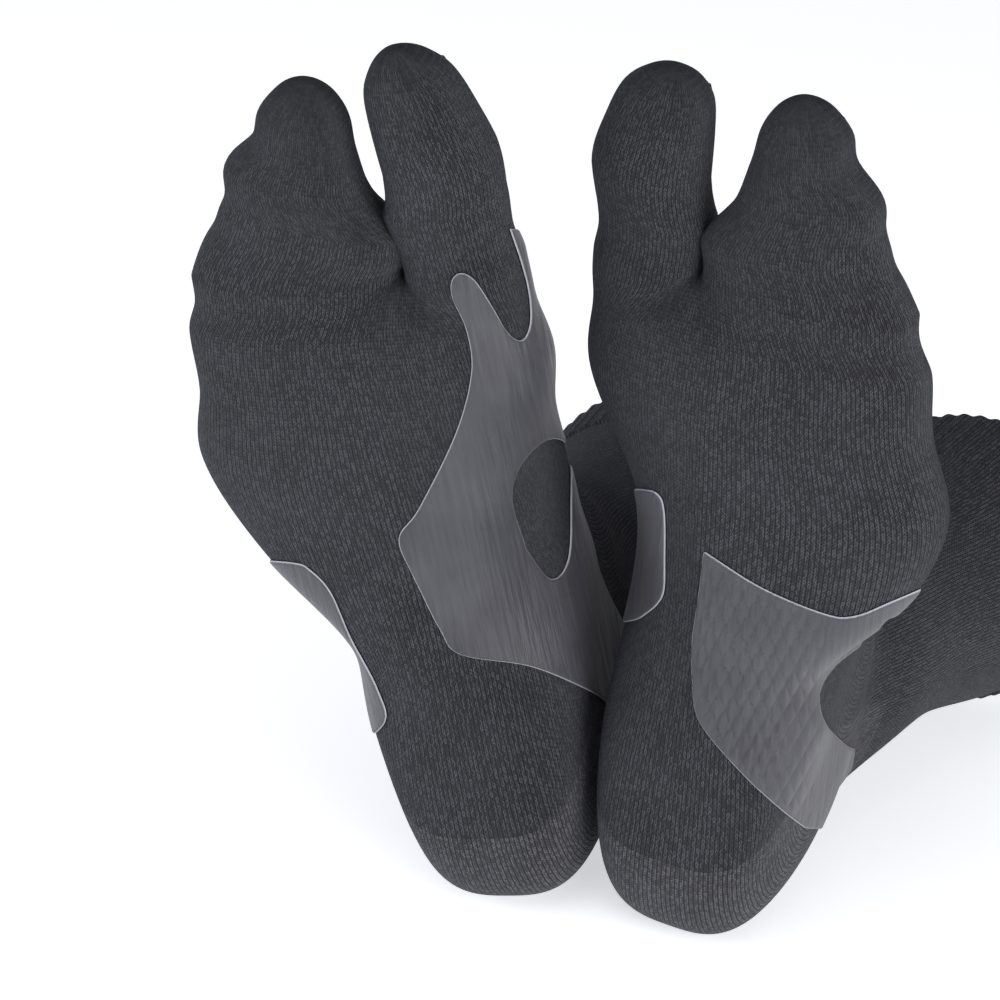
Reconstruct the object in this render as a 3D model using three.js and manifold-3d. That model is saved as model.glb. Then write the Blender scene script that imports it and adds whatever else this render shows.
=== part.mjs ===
// A pair of split-toe compression socks with bonded elastomer support films, in the hollow shape
// that they hold when worn: heels and calves on the floor, toes up, soles facing -Y.
// Each sock is worked out in its own foot frame and then placed by a group:
//   b  across the foot, positive towards the big-toe side
//   a  along the sole, from the back of the heel (0) to the toes
//   h  height above the sole
import * as THREE from "three";
import { LoftGeometry } from "three/addons/geometries/LoftGeometry.js";
import { mergeVertices } from "three/addons/utils/BufferGeometryUtils.js";
import Module from "manifold-3d";

const wasm = await Module();
wasm.setup();

// ---- driving dimensions, millimetres and degrees -------------------------------------------
const KNIT_WALL = 1.6; // thickness of the stretched terry-backed knit
const CUFF_PROUD = 0.8; // the doubled welt stands this much prouder than the leg
const FILM_THICKNESS = 0.9;
const PIECE_GAP = 0.3; // clearance between two knitted zones
const BALL_WIDTH = 94; // across the ball of the foot, over the knit
const HEEL_WIDTH = 60; // across the heel, over the knit
const FILM_GAP = BALL_WIDTH / 235; // between the knit and a bonded film, more on a broader foot
const TOE_LINE = 206; // where the foot tube divides, from the back of the heel
const TOE_LENGTH = 50; // the big-toe pocket beyond the toe line, before the sock is put on
const LEG_LENGTH = 176; // sole to the cuff's open end
const SEAM_RADIUS = 0.8; // half the width of a linked closing seam

const AROUND = 16; // sides of the foot tube
const LOBE_SIDES = 12; // sides of a toe pocket
const RING_PITCH = 0.5; // the tube's rings, as a share of the step between its sections
const PLACE_GAP = 0.035; // half the gap between two zones, on the same scale
const OVERRUN = 0.12; // a hollow runs this far past its band, on the same scale
const WEB = 0.11; // the web between the toe pockets, on the same scale
const CROWN = 2.2; // how far a pocket's tip is rounded out, at its crown's ring
const PEAK = 3.4; // and at its peak
const CROWN_DRAWN_IN = 0.3; // how far the crown's ring is drawn to its middle, as a share
const PEAK_DRAWN_IN = 0.7;
const SPLIT_NEAR = 0.05; // two rings closer than this are one
const BEYOND = 400; // larger than the sock

// the slanted line between the heel pocket and the instep
const HEEL_LINE = { a: 58, h: 50, slope: -20 };

// the ankle's bending axis, in the foot frame
const ANKLE = { a: 52, h: 72 };

// the foot's halves on each side of its own line
const HEEL_HALF = HEEL_WIDTH / 2;
const BALL_MEDIAL = BALL_WIDTH * 0.42;
const BALL_LATERAL = BALL_WIDTH * 0.58;

// how each sock is worn: where its heel stands, how the foot is turned, and how the toes lie; the
// heels stand further apart for a broader ball
const SOCKS = {
  right: {
    side: 1, x: 9.48 - BALL_MEDIAL, y: -4, pitch: 9.6, lean: -7.4, yaw: 11.1,
    ankleBend: 15.7, legYaw: 10.7,
    bigToeTurn: -6.6, toesTurn: 16.5, bigToeReach: 10.3, toesReach: 10.3, toeGap: 1.9,
  },
  left: {
    side: -1, x: BALL_MEDIAL - 25.38, y: -0.2, pitch: 4.1, lean: 5.9, yaw: -1.7,
    ankleBend: 0.4, legYaw: -13,
    bigToeTurn: -5.8, toesTurn: 6, bigToeReach: 1.5, toesReach: 7, toeGap: 1.7,
  },
};

// Sections of the leg and foot tube. Each is a closed superellipse in the plane through a top
// point and a bottom point: [top a, top h, bottom a, bottom h, medial half width,
// lateral half width, exponent at the top, exponent at the bottom].
const TUBE = [
  [91, LEG_LENGTH, 0, LEG_LENGTH, 42.7, 42.7, 2, 2],
  [88, LEG_LENGTH - 26, 6, LEG_LENGTH - 26, 38.7, 38.7, 2, 1.95],
  [85, LEG_LENGTH - 51, 11, LEG_LENGTH - 54, 35.2, 35.2, 2, 1.85],
  [87, 107, 9, 92, HEEL_HALF + 4.8, HEEL_HALF + 4.6, 2.1, 1.85],
  [91, 98, 2, 60, HEEL_HALF + 3, HEEL_HALF - 3.6, 2.1, 2],
  [95, 93, 0, 32, HEEL_HALF + 1, HEEL_HALF - 1.8, 2.45, 2.9],
  [99, 90, 5, 10, HEEL_HALF, HEEL_HALF - 1.3, 2.45, 3],
  [104, 86, 24, 0, HEEL_HALF, HEEL_HALF - 0.8, 2.1, 3.2],
  [111, 80, 52, 0, HEEL_HALF + 0.8, HEEL_HALF + 1.6, 2.1, 3.3],
  [120, 73, 85, 1.5, HEEL_HALF + 1, HEEL_HALF + 3.5, 2.1, 2.7],
  [133, 64, 117, 2.5, BALL_MEDIAL - 7.2, BALL_LATERAL - 1.7, 2.1, 2.8],
  [152, 53, 148, 1, BALL_MEDIAL - 5.3, BALL_LATERAL + 5.7, 2.2, 2.9],
  [173, 43, 174, -1, BALL_MEDIAL - 0.3, BALL_LATERAL - 0.7, 2.3, 3],
  [TOE_LINE - 16, 37, TOE_LINE - 14, 0, BALL_MEDIAL - 1.2, BALL_LATERAL - 2.5, 2.4, 2.8],
  [TOE_LINE - 2, 32, TOE_LINE, 2, BALL_MEDIAL, BALL_LATERAL - 6.5, 2.4, 2.6],
];
// where one knitted zone ends and the next begins, as places in the list above
const ZONES = {
  cuffTop: 0,
  cuffEnd: 0.85,
  legEnd: 1.8,
  ankleEnd: 3.6,
  heelEnd: 7.4,
  archEnd: 10,
  ballEnd: 13.4,
};
const TUBE_END = TUBE.length - 1;

// Sections of the toe pockets: [distance past the toe line, medial edge, lateral edge, top, bottom]
const TOE_ROOT = 8; // the pockets begin this far inside the foot tube
const BIG_TOE = [
  [0, 38.6, 9.5, 31, 3],
  [6.4, 38.3, 10, 29.5, 4],
  [15, 40.4, 10.5, 28.5, 3],
  [25.7, 41.5, 11.2, 28, 1],
  [36.4, 39.5, 12.1, 26.5, 1.5],
  [43.9, 37.2, 13.2, 24, 3.6],
  [TOE_LENGTH - 1.8, 33, 16.2, 21.2, 5.8],
];
const FOUR_TOES = [
  [0, 8.5, -47.4, 30, 2],
  [6.8, 8.5, -43.6, 28, 3.5],
  [15.8, 6, -39.4, 26, 3],
  [24.8, -0.5, -38.8, 24, 2],
  [33.8, -4.8, -32.8, 22, 2],
  [40.6, -7.2, -30.2, 20.8, 3.2],
  [TOE_LENGTH - 5, -10.6, -27, 18, 5.6],
];
const POCKET_START = 7; // the toe pockets' own zones begin this far past the toe line

// ---- films' outlines, millimetres ------------------------------------------------------------
// A film is drawn square to the direction that it is seen from: turned about the foot's length
// from the sole's own direction, positive to the medial side, and raised towards the toes.
// Points are [medial, up] from the middle of the foot, in smooth stretches that meet at corners.
const FOOT_MIDDLE = new THREE.Vector3(0, 20, 110);
const FILM_REACH = 90;
const FILM_LIMIT = { a: 110, h: 52, slope: 16 }; // the films end on this plane, over the instep
const FILM_SPAN = [3.8, 13.3]; // the part of the tube that films can lie on
const FILM_FIT = HEEL_WIDTH / 60; // films are cut to the foot's width
const FILMS = {
  right: {
    medial_film: {
      around: 20,
      above: 33,
      edge: [
        [[-8.6, -0.6], [-10.2, 10.6], [-3.3, 17.3], [9.9, 33.4], [17.2, 48.1], [18.9, 61.4],
          [18.4, 73], [20.6, 76.4], [22.8, 73.6], [24.5, 67], [30.5, 56.1], [34.9, 66],
          [39.7, 75.3], [44, 79]],
        [[44, 79], [50, 74], [50, 20], [46, -30], [37.7, -49.3]],
        [[37.7, -49.3], [30.1, -40.7], [16.1, -30.2], [-1.3, -22.7], [-5.1, -15], [-8.6, -0.6]],
      ],
      window: [
        [[21.6, 0.8], [20.7, 14.6], [25.3, 23.1], [33.1, 27.4], [38.4, 24.3], [36.2, 11.1],
          [32.2, -4.3], [26.4, -8.5], [21.6, 0.8]],
      ],
    },
    lateral_film: {
      around: 20,
      above: 33,
      edge: [
        [[-61.8, 17], [-50.1, 14.1], [-38.2, 10.6], [-34.7, 8], [-30.8, 1.1], [-28.4, -12.5],
          [-24.7, -27.5], [-25.3, -37.2], [-38.5, -42.9], [-61.8, -46]],
        [[-61.8, -46], [-61.8, 17]],
      ],
    },
  },
  left: {
    lateral_film: {
      around: -21,
      above: 33,
      edge: [
        [[3.7, 10.1], [-11.5, 2.3], [-27.8, -2.8], [-35.7, -2.8], [-45.3, 2.1], [-60, 10]],
        [[-60, 10], [-60, 0], [-45.2, -2.4], [-41.6, -9.4], [-33.1, -16.8], [-29.8, -23.7],
          [-31.8, -31.4], [-37.7, -37.4], [-44, -41], [-56, -44]],
        [[-56, -44], [-56, -66], [-30, -62]],
        [[-30, -62], [-22.3, -56], [-10.9, -46.6], [0.8, -34.5], [3.6, -24.2], [4.6, -13.8],
          [4, -0.5], [3.7, 10.1]],
      ],
    },
    medial_film: {
      around: -21,
      above: 33,
      edge: [
        [[52, 26], [35.6, 25.6], [22.3, 24.7], [16.9, 23.7], [14.6, 19.1], [13.4, 6.5],
          [13, -0.8], [14.2, -4.4], [17.1, -7.5], [21.1, -10], [32, -12.4], [52, -16]],
        [[52, -16], [52, 26]],
      ],
    },
  },
};

// ---- small mathematics -----------------------------------------------------------------------
const radians = THREE.MathUtils.degToRad;
const step = THREE.MathUtils.smoothstep;
const bell = (x, centre, width) => Math.exp(-(((x - centre) / width) ** 2));
const power = (x, exponent) => Math.sign(x) * Math.abs(x) ** exponent;
const places = (from, to, count) =>
  Array.from({ length: count + 1 }, (_, i) => from + ((to - from) * i) / count);

// A row between the rows of a table, on a uniform Catmull-Rom spline that is carried on straight
// past both ends.
function rowAt(rows, place) {
  const last = rows.length - 1;
  const i = Math.min(Math.max(Math.floor(place), 0), last - 1);
  const f = place - i;
  const row = (k) => {
    if (k < 0) return rows[0].map((v, n) => 2 * v - rows[1][n]);
    if (k > last) return rows[last].map((v, n) => 2 * v - rows[last - 1][n]);
    return rows[k];
  };
  const [p, q, r, s] = [row(i - 1), row(i), row(i + 1), row(i + 2)];
  return q.map((v, n) => {
    const linear = r[n] - p[n];
    const square = 2 * p[n] - 5 * v + 4 * r[n] - s[n];
    const cube = 3 * v - p[n] - 3 * r[n] + s[n];
    return 0.5 * (2 * v + linear * f + square * f * f + cube * f ** 3);
  });
}

// ---- the foot's form -------------------------------------------------------------------------
// The arch is lifted and drawn in on the medial side, and the instep falls to the lateral side.
function relief(p) {
  const sole = 1 - step(p.h, 5, 60);
  const flank = 1 - step(p.h, 0, 50);
  const foot = step(p.a, 45, 85) * (1 - step(p.h, 55, 95));
  const slope = foot * step(p.a, 85, 140) * step(p.h, 15, 45) * Math.max(0, 30 - p.b);
  return {
    b: p.b - 5 * bell(p.a, 118, 32) * step(p.b, 10, 30) * flank,
    a: p.a,
    h: p.h + 13 * bell(p.a, 112, 38) * step(p.b, -12, 30) * sole - 0.16 * slope,
  };
}

// The leg is turned about the ankle: bent in the foot's plane, and swung sideways.
function turnLeg(p, place, sock) {
  const bent = radians(sock.ankleBend) * (1 - step(place, 1.6, 5.2));
  const swung = Math.tan(radians(sock.legYaw) * (1 - step(place, 1, 4)));
  const a = p.a - ANKLE.a;
  const h = p.h - ANKLE.h;
  return {
    b: p.b + Math.max(h, 0) * swung,
    a: ANKLE.a + a * Math.cos(bent) - h * Math.sin(bent),
    h: ANKLE.h + a * Math.sin(bent) + h * Math.cos(bent),
  };
}

// A toe pocket is splayed in the plane of the sole about a point on the toe line.
function splay(p, degrees, pivot) {
  const share = step(p.a, TOE_LINE - 6, TOE_LINE + 14);
  const angle = radians(degrees);
  const b = p.b - pivot;
  const a = p.a - TOE_LINE;
  return {
    b: pivot + b * (1 + (Math.cos(angle) - 1) * share) + a * Math.sin(angle) * share,
    a: TOE_LINE + a * (1 + (Math.cos(angle) - 1) * share) - b * Math.sin(angle) * share,
    h: p.h,
  };
}

const toVector = (p, sock) => new THREE.Vector3(sock.side * p.b, p.h, p.a);

// One ring of the tube, grown outwards by grow millimetres; it winds the same way on both socks.
function tubeRing(sock, place, grow) {
  const [topA, topH, bottomA, bottomH, medial, lateral, topPower, bottomPower] = rowAt(TUBE, place);
  const half = Math.hypot(topA - bottomA, topH - bottomH) / 2;
  const stretch = (half + grow) / half;
  const ring = places(0, 1, AROUND).slice(0, AROUND).map((turn) => {
    const angle = 2 * Math.PI * turn;
    const exponent = 2 / (topPower + ((bottomPower - topPower) * (1 - Math.cos(angle))) / 2);
    const width = (Math.sin(angle) > 0 ? medial : lateral) + grow;
    const up = power(Math.cos(angle), exponent) * stretch;
    const p = {
      b: power(Math.sin(angle), exponent) * width,
      a: (topA + bottomA + up * (topA - bottomA)) / 2,
      h: (topH + bottomH + up * (topH - bottomH)) / 2,
    };
    return toVector(turnLeg(relief(p), place, sock), sock);
  });
  return sock.side > 0 ? ring.reverse() : ring;
}

// One ring of a toe pocket.
function lobeRing(sock, lobe, place, grow) {
  const [past, medialEdge, lateralEdge, top, bottom] = rowAt(lobe.rows, place);
  const apart = THREE.MathUtils.clamp(past / 10, 0, 1) * sock.toeGap * lobe.apart;
  const medial = medialEdge + apart * (lobe.apart > 0 ? 0.5 : 1);
  const lateral = lateralEdge + apart * (lobe.apart > 0 ? 1 : 0.5);
  const reach = past * (1 + (sock[lobe.reach] * past) / TOE_LENGTH ** 2);
  const ring = places(0, 1, LOBE_SIDES).slice(0, LOBE_SIDES).map((turn) => {
    const angle = 2 * Math.PI * turn;
    const p = {
      b: (medial + lateral) / 2 + power(Math.sin(angle), 0.87) * ((medial - lateral) / 2 + grow),
      a: TOE_LINE + reach,
      h: (top + bottom) / 2 + power(Math.cos(angle), 0.87) * ((top - bottom) / 2 + grow),
    };
    return toVector(splay(p, sock[lobe.turn], lobe.pivot), sock);
  });
  return sock.side > 0 ? ring.reverse() : ring;
}
const LOBES = {
  bigToe: { rows: BIG_TOE, turn: "bigToeTurn", reach: "bigToeReach", pivot: 26, apart: 1 },
  fourToes: { rows: FOUR_TOES, turn: "toesTurn", reach: "toesReach", pivot: -20, apart: -1 },
};

// ---- solids ----------------------------------------------------------------------------------
// A closed geometry as a solid that can be joined and cut.
function solid(geometry) {
  const bare = new THREE.BufferGeometry();
  bare.setAttribute("position", geometry.getAttribute("position"));
  bare.setIndex(geometry.getIndex());
  const merged = mergeVertices(bare, 1e-4);
  return new wasm.Manifold(
    new wasm.Mesh({
      numProp: 3,
      vertProperties: merged.attributes.position.array,
      triVerts: new Uint32Array(merged.index.array),
    }),
  );
}

const loft = (rings) => solid(new LoftGeometry(rings, { closed: true, capStart: true, capEnd: true }));

// The tube between two places, with its rings on one shared pitch, so that layers that lie on
// each other have matching facets.
function tube(sock, from, to, grow) {
  const first = Math.floor(from / RING_PITCH) + 1;
  const beyond = Math.ceil(to / RING_PITCH);
  const inner = places(first * RING_PITCH, beyond * RING_PITCH, beyond - first);
  const all = [from, ...inner.filter((p) => p > from + SPLIT_NEAR && p < to - SPLIT_NEAR), to];
  return loft(all.map((place) => tubeRing(sock, place, grow)));
}

const middle = (ring) => ring.reduce((sum, v) => sum.add(v), new THREE.Vector3()).divideScalar(ring.length);

// A toe pocket's form, from its root inside the foot tube to its rounded tip.
function pocket(sock, lobe, grow) {
  const last = lobe.rows.length - 1;
  const rings = places(0, last, last + 2).map((place) => lobeRing(sock, lobe, place, grow));
  const back = new THREE.Vector3(0, 0, grow - TOE_ROOT);
  const root = rings[0].map((v) => v.clone().add(back));
  const tip = rings.at(-1);
  const centre = middle(tip);
  const ahead = centre.clone().sub(middle(rings.at(-2))).normalize();
  const closing = (drawnIn, lift) =>
    tip.map((v) => v.clone().lerp(centre, drawnIn).addScaledVector(ahead, lift + grow));
  return loft([root, ...rings, closing(CROWN_DRAWN_IN, CROWN), closing(PEAK_DRAWN_IN, PEAK)]);
}

// Everything between two distances past the toe line.
function slab(from, to) {
  const box = new THREE.BoxGeometry(BEYOND, BEYOND, to - from);
  box.translate(0, 0, TOE_LINE + (from + to) / 2);
  return solid(box);
}

// The knitted tube between two zone borders, hollow and open at both ends.
function knitBand(sock, from, to, proud = 0) {
  const outer = tube(sock, from + PLACE_GAP, to - PLACE_GAP, proud);
  return outer.subtract(tube(sock, from - OVERRUN, to + OVERRUN, -KNIT_WALL));
}

// The heel's zone is one band, parted on the slanted line where the heel pocket is knitted on.
function heelParts(sock) {
  const band = knitBand(sock, ZONES.ankleEnd, ZONES.heelEnd);
  const below = new THREE.BoxGeometry(BEYOND, BEYOND, BEYOND);
  below.translate(0, 0, -BEYOND / 2 - PIECE_GAP / 2);
  const above = new THREE.BoxGeometry(BEYOND, BEYOND, BEYOND);
  above.translate(0, 0, BEYOND / 2 + PIECE_GAP / 2);
  const line = new THREE.Matrix4().makeRotationX(radians(HEEL_LINE.slope));
  line.setPosition(0, HEEL_LINE.h, HEEL_LINE.a);
  return {
    heel_pocket: band.intersect(solid(below.applyMatrix4(line))),
    instep: band.intersect(solid(above.applyMatrix4(line))),
  };
}

// Past the ball the tube divides into two pockets, which are closed by a web between them.
function toeParts(sock) {
  const outerBig = pocket(sock, LOBES.bigToe, 0);
  const outerFour = pocket(sock, LOBES.fourToes, 0);
  const innerBig = pocket(sock, LOBES.bigToe, -KNIT_WALL);
  const innerFour = pocket(sock, LOBES.fourToes, -KNIT_WALL);
  const outerFoot = tube(sock, ZONES.ballEnd + PLACE_GAP, TUBE_END, 0);
  const innerFoot = tube(sock, ZONES.ballEnd - OVERRUN, TUBE_END - WEB, -KNIT_WALL);
  const whole = outerFoot.add(outerBig).add(outerFour);
  const hollow = innerFoot.add(innerBig).add(innerFour);
  const past = slab(POCKET_START + PIECE_GAP, BEYOND);
  return {
    toe_divide: whole.subtract(hollow).intersect(slab(-BEYOND, POCKET_START)),
    big_toe_pocket: outerBig.subtract(innerBig).intersect(past),
    toe_pocket: outerFour.subtract(innerFour).intersect(past),
  };
}

// A linked closing seam: a round ridge over the top of a pocket's tip, from side to side.
function toeSeam(sock, lobe) {
  const lift = SEAM_RADIUS + PIECE_GAP + 0.1;
  const ring = lobeRing(sock, lobe, lobe.rows.length - 1.6, lift);
  const turned = sock.side > 0 ? ring : [...ring].reverse();
  const half = Math.round(LOBE_SIDES / 4) - 1;
  const over = places(-half, half, 2 * half).map((i) => turned[(i + LOBE_SIDES) % LOBE_SIDES]);
  const round = new THREE.EllipseCurve(0, 0, SEAM_RADIUS, SEAM_RADIUS).getPoints(6);
  const section = new THREE.Shape(round.slice(0, -1));
  const path = new THREE.CatmullRomCurve3(over, false, "catmullrom", 0.5);
  return solid(new THREE.ExtrudeGeometry(section, { steps: 12, extrudePath: path }));
}

// ---- support films ---------------------------------------------------------------------------
// A smooth line through each stretch's points; stretches meet at corners.
function outline(stretches, side) {
  return stretches.flatMap((stretch) => {
    const points = stretch.map(([across, up]) => new THREE.Vector2(across * side * FILM_FIT, up));
    const smooth = new THREE.SplineCurve(points).getPoints(2 * (points.length - 1));
    return smooth.slice(0, -1);
  });
}

// A block on the low side of a plane that is level across the foot and slopes along it.
function halfSpace(plane) {
  const half = new THREE.BoxGeometry(BEYOND, BEYOND, BEYOND);
  half.translate(0, -BEYOND / 2, 0);
  const turn = new THREE.Matrix4().makeRotationX(radians(plane.slope));
  return solid(half.applyMatrix4(turn.setPosition(0, plane.h, plane.a)));
}

// A straight-sided block over an outline, right through the foot.
function block(film, stretches, side) {
  const points = outline(stretches, side);
  if (THREE.ShapeUtils.isClockWise(points)) points.reverse();
  const shape = new THREE.Shape(points);
  const prism = new THREE.ExtrudeGeometry(shape, { depth: 2 * FILM_REACH, bevelEnabled: false });
  prism.translate(0, 0, -FILM_REACH);
  const around = radians(film.around) * side;
  const above = radians(film.above);
  const towards = new THREE.Vector3(
    Math.sin(around) * Math.cos(above),
    -Math.cos(around) * Math.cos(above),
    Math.sin(above),
  );
  const across = new THREE.Vector3(0, 0, 1).cross(towards).normalize();
  const up = towards.clone().cross(across);
  const frame = new THREE.Matrix4().makeBasis(across, up, towards).setPosition(FOOT_MIDDLE);
  return solid(prism.applyMatrix4(frame));
}

function filmPiece(sock, film) {
  const outer = tube(sock, FILM_SPAN[0], FILM_SPAN[1], FILM_GAP + FILM_THICKNESS);
  const skin = outer.subtract(tube(sock, FILM_SPAN[0] - OVERRUN, FILM_SPAN[1] + OVERRUN, FILM_GAP));
  const lowSide = skin.intersect(halfSpace(FILM_LIMIT));
  const patch = lowSide.intersect(block(film, film.edge, sock.side));
  return film.window ? patch.subtract(block(film, film.window, sock.side)) : patch;
}

// ---- the pair --------------------------------------------------------------------------------
const MATERIALS = {
  knit: { color: 0x3c3d43, roughness: 0.9, metalness: 0 },
  heel: { color: 0x43434a, roughness: 0.92, metalness: 0 },
  rib: { color: 0x37383e, roughness: 0.9, metalness: 0 },
  seam: { color: 0x46474f, roughness: 0.85, metalness: 0 },
  film: { color: 0x5f5f68, roughness: 0.42, metalness: 0 },
};

function mesh(name, piece, material) {
  const made = piece.getMesh();
  const geometry = new THREE.BufferGeometry();
  geometry.setAttribute("position", new THREE.BufferAttribute(made.vertProperties, 3));
  geometry.setIndex(new THREE.BufferAttribute(made.triVerts, 1));
  geometry.computeVertexNormals();
  const result = new THREE.Mesh(geometry, new THREE.MeshStandardMaterial(MATERIALS[material]));
  result.name = name;
  return result;
}

function makeSock(name) {
  const sock = SOCKS[name];
  const heel = heelParts(sock);
  const toes = toeParts(sock);
  const pieces = [
    ["cuff", knitBand(sock, ZONES.cuffTop - PLACE_GAP, ZONES.cuffEnd, CUFF_PROUD), "rib"],
    ["leg", knitBand(sock, ZONES.cuffEnd, ZONES.legEnd), "knit"],
    ["ankle", knitBand(sock, ZONES.legEnd, ZONES.ankleEnd), "knit"],
    ["heel_pocket", heel.heel_pocket, "heel"],
    ["instep", heel.instep, "knit"],
    ["arch_band", knitBand(sock, ZONES.heelEnd, ZONES.archEnd), "knit"],
    ["forefoot", knitBand(sock, ZONES.archEnd, ZONES.ballEnd), "knit"],
    ["toe_divide", toes.toe_divide, "knit"],
    ["big_toe_pocket", toes.big_toe_pocket, "knit"],
    ["toe_pocket", toes.toe_pocket, "knit"],
    ["big_toe_seam", toeSeam(sock, LOBES.bigToe), "seam"],
    ["toe_seam", toeSeam(sock, LOBES.fourToes), "seam"],
    ...Object.entries(FILMS[name]).map(([film, shape]) => [film, filmPiece(sock, shape), "film"]),
  ];
  const group = new THREE.Group();
  group.name = `${name}_sock`;
  group.add(...pieces.map(([piece, made, material]) => mesh(`${name}_${piece}`, made, material)));
  group.rotation.set(radians(sock.pitch), radians(sock.lean), radians(sock.yaw), "ZYX");
  group.position.set(sock.x, sock.y, 0);
  const lowest = new THREE.Box3().setFromObject(group, true).min.z;
  group.position.z = -lowest;
  return group;
}

// The pair's origin is the middle of its box, on the floor.
const pair = new THREE.Group();
pair.add(makeSock("right"), makeSock("left"));
const box = new THREE.Box3().setFromObject(pair, true);
const centre = box.getCenter(new THREE.Vector3());
pair.children.forEach((sock) => sock.position.sub(new THREE.Vector3(centre.x, centre.y, box.min.z)));

export default pair;
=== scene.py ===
"""A pair of split-toe compression socks with bonded elastomer support films, worn, soles forward.

Each sock is worked out in its foot frame, in millimetres, and then placed in the pair's frame:
b across the foot (positive towards the big toe), a along the sole from the back of the heel,
h height above the sole.
"""

import functools

import bpy
import numpy as np
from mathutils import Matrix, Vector


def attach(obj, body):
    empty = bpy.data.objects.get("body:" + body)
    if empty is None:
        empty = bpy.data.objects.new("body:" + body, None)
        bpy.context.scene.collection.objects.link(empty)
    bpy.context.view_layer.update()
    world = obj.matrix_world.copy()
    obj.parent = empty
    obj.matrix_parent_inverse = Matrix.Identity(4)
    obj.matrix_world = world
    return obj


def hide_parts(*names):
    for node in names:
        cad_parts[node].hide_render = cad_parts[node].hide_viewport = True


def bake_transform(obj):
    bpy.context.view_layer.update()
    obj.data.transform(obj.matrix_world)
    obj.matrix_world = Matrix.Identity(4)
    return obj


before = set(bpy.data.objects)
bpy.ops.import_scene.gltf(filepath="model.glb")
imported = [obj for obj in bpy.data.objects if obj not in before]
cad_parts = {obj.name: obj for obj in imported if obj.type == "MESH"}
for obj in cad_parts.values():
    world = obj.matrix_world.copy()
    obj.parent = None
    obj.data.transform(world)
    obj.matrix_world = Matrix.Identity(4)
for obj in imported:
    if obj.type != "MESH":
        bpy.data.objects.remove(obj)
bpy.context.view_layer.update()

MM = 0.001
COLUMNS = 224  # divisions of a ring, half of them on the medial side
ROW_STEP = 1.2  # mm between rings
WALES = 216  # columns of stitches round the foot, about 1.1 mm each over the sole
COURSE = 1.0  # mm, height of a course of stitches
KNIT_WALL = 1.6
FILM_LIFT = 0.04
FILM_THICKNESS = 0.75
LATTICE_DEPTH = 1.0
FILM_STEP = 0.55  # mm between the points of a film's grid
TOE_LINE = 206.0
TOE_LENGTH = 50.0
LEG_LENGTH = 176.0
HEEL_HALF = 30.0
BALL_MEDIAL = 39.48
BALL_LATERAL = 54.52
ANKLE = (52.0, 72.0)
HEEL_LINE = {"a": 58.0, "h": 50.0, "slope": -20.0}
CROTCH = 9.0  # where the toes part, across the foot
CUFF_PROUD = 0.8
TIP = 3.2  # how far a toe pocket is rounded out past its last section
TOE_JOINT = 15.0  # past the toe line, where the outermost small toe swells the pocket
TOE_PITCH = 13.0  # from one small toe's swelling to the next
TOE_SWELL = 0.55
LAST_STEP = 16.0  # mm along the sole between the tube's last two sections
SECTION_POINTS = 2881  # points of a section before they are spread evenly
ARCH_LIFT = 13.0
ARCH_DRAW = 5.0  # how far the arch goes in from the side
INSTEP_FALL = 0.16  # mm down for each mm across
POCKET_POWER = 0.87  # of the sine and cosine in a toe pocket's ring
MEET_AROUND = 9.0  # mm round a pocket's ring that are drawn to where the pockets meet
MEET_ALONG = 8.0  # and mm along it
CUFF_COLUMNS = 640
RIB_DEPTH = 0.35
FILM_COLUMNS = 480
FILM_EDGE = 0.8  # mm of a film's edge that are rounded
FILM_EDGE_SHARE = 0.35  # of its thickness that is left at the cut
LATTICE_CELL = (3.7, 8.6)  # mm, half across and half up
SEAM_RADIUS = 0.62
SEAM_SWELL = 0.14
SEAM_STITCH = 1.1  # mm between linked stitches
SEAM_RISE = 0.3  # mm from the knit's face to the middle of the cord
SEAM_BACK = 3.6  # mm from a pocket's last section back to the cord

SOCKS = {
    "right": {
        "side": 1, "place": (-22.558, -66.167, -2.260), "turn": (9.6, -7.4, 11.1), "ankle_bend": 15.7,
        "leg_yaw": 10.7, "big_turn": -6.6, "four_turn": 16.5, "big_reach": 10.3, "four_reach": 10.3,
        "gap": 1.9, "web": 18.0,
    },
    "left": {
        "side": -1, "place": (21.542, -62.367, -2.278), "turn": (4.1, 5.9, -1.7), "ankle_bend": 0.4,
        "leg_yaw": -13.0, "big_turn": -5.8, "four_turn": 6.0, "big_reach": 1.5, "four_reach": 7.0,
        "gap": 1.7, "web": 13.0,
    },
}

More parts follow.
